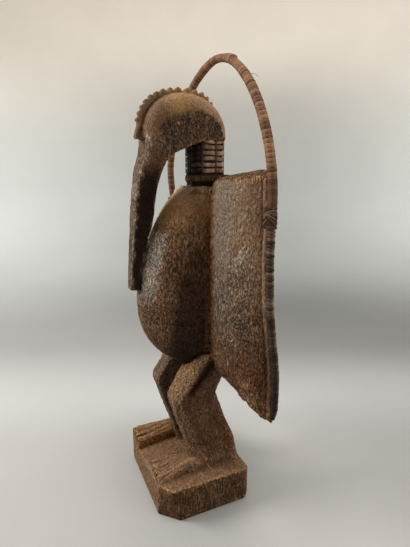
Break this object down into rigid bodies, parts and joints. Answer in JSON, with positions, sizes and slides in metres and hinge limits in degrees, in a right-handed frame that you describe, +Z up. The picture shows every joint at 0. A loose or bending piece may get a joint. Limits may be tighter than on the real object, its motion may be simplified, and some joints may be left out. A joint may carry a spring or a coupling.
{
  "type": "carved wooden bird figure",
  "caption": "Standing carved hornbill with a long curved beak, square hanging wings, a toothed crest and a bound cane hoop arching over its shoulders, on a block base.",
  "frame": {"origin": "middle of the base's flat underside", "axes": "+Z up; the bird faces -Y; its left wing points along +X"},
  "size_m": [0.36, 0.1659, 0.6917],
  "materials": {
    "figure_wood": "worn dark stain with tool marks",
    "neck_cane": "plaited split cane, handled",
    "hoop_cane": "wound split cane, reddish tan",
    "edge_cane": "wound split cane, darkened",
    "binding_fibre": "twisted plant fibre, dull"
  },
  "bodies": {
    "root": {"carved_figure": "figure_wood", "neck_sleeve": "neck_cane", "cane_hoop": "hoop_cane", "left_edge_rod": "edge_cane", "right_edge_rod": "edge_cane", "left_lashing": "binding_fibre", "right_lashing": "binding_fibre"}
  },
  "joints": []
}
